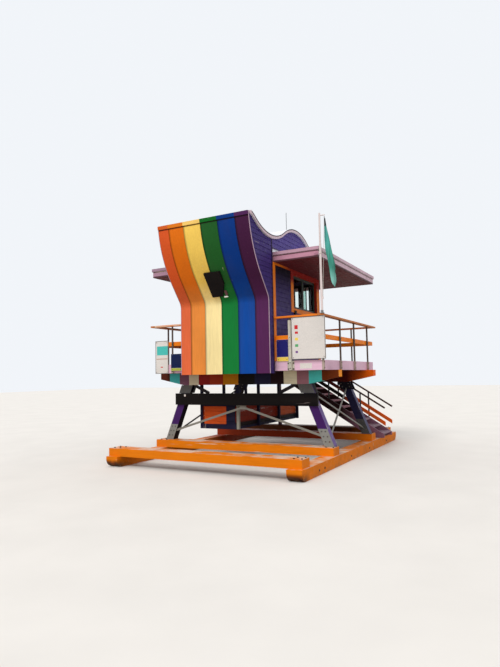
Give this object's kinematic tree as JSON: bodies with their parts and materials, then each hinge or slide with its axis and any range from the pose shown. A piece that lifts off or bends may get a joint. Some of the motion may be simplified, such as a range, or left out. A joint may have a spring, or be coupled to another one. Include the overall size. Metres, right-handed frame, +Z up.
{
  "type": "lifeguard tower",
  "caption": "Raised timber beach cabin on a towing skid: leaning legs, railed deck, stair, flat canopy, wave roof and a striped back wall that flares out at its top.",
  "frame": {"origin": "on the ground, in the middle of the space that the tower takes up", "axes": "+X to the right along the striped back wall as seen from behind it, +Y from that wall to the front with the doorway, +Z up"},
  "size_m": [5.515, 7.795, 6.44],
  "materials": {
    "skid_paint": "worn orange paint on heavy timber",
    "leg_paint": "purple paint on timber",
    "header_paint": "blocks of brown, teal, cream, red, ochre and navy paint",
    "sign_beam_paint": "satin black paint, bare of lettering",
    "galvanised": "dull galvanised steel",
    "brace_steel": "flat steel bar, dull",
    "joist_timber": "dark painted timber",
    "fascia_paint": "faded pink and mauve paint",
    "deck_boards": "worn painted boards",
    "rail_paint": "faded paint on board and cap, galvanised pipe posts",
    "stair_paint": "maroon and mauve paint",
    "tread_paint": "dark worn paint",
    "siding_paint": "violet clapboards",
    "trim_paint": "orange trim",
    "frame_paint": "painted window frames",
    "window_glass": "clear glass",
    "stripe_paint": "vertical stripes of red, orange, yellow, green, blue and purple boards",
    "cap_paint": "stripes of the wall's colours",
    "roof_felt": "pale roof sheeting on top, faded pink edges",
    "gable_paint": "purple boards",
    "canopy_paint": "faded mauve paint",
    "soffit_paint": "dark maroon boards",
    "canopy_felt": "pale roof sheeting with a faded pink edge",
    "locker_frame_paint": "dark navy paint",
    "locker_panel_paint": "orange boards",
    "pole_paint": "white paint",
    "rope": "braided rope",
    "flag_cloth": "limp teal cloth",
    "board_paint": "flat coloured sign boards, bare of lettering",
    "panel_black": "black panel with a small fixture"
  },
  "bodies": {
    "root": {"skid_runners": "skid_paint", "skid_beams": "skid_paint", "legs": "leg_paint", "leg_shoes": "galvanised", "leg_gussets": "galvanised", "headers": "header_paint", "sign_beam": "sign_beam_paint", "back_braces": "brace_steel", "side_braces": "brace_steel", "deck_joists": "joist_timber", "deck_fascia": "fascia_paint", "deck_floor": "deck_boards", "landing_frame": "fascia_paint", "landing_prop": "skid_paint", "landing_floor": "deck_boards", "rail_right": "rail_paint", "rail_left": "rail_paint", "rail_back": "rail_paint", "rail_front": "rail_paint", "rail_landing": "rail_paint", "stair_stringers": "stair_paint", "stair_treads": "tread_paint", "stair_rails": "rail_paint", "wall_right": "siding_paint", "wall_left": "siding_paint", "wall_front": "siding_paint", "window_frames": "frame_paint", "window_glass": "window_glass", "wall_trim": "trim_paint", "striped_wall": "stripe_paint", "wall_cap": "cap_paint", "flare_sides": "siding_paint", "wave_roof": "roof_felt", "roof_gables": "gable_paint", "canopy_fascia": "canopy_paint", "canopy_soffit": "soffit_paint", "canopy_roof": "canopy_felt", "locker_frame": "locker_frame_paint", "locker_panels": "locker_panel_paint", "flagpole": "pole_paint", "halyard": "rope", "flag": "flag_cloth", "aerial": "pole_paint", "sign_boards": "board_paint", "wall_panel": "panel_black"}
  },
  "joints": []
}
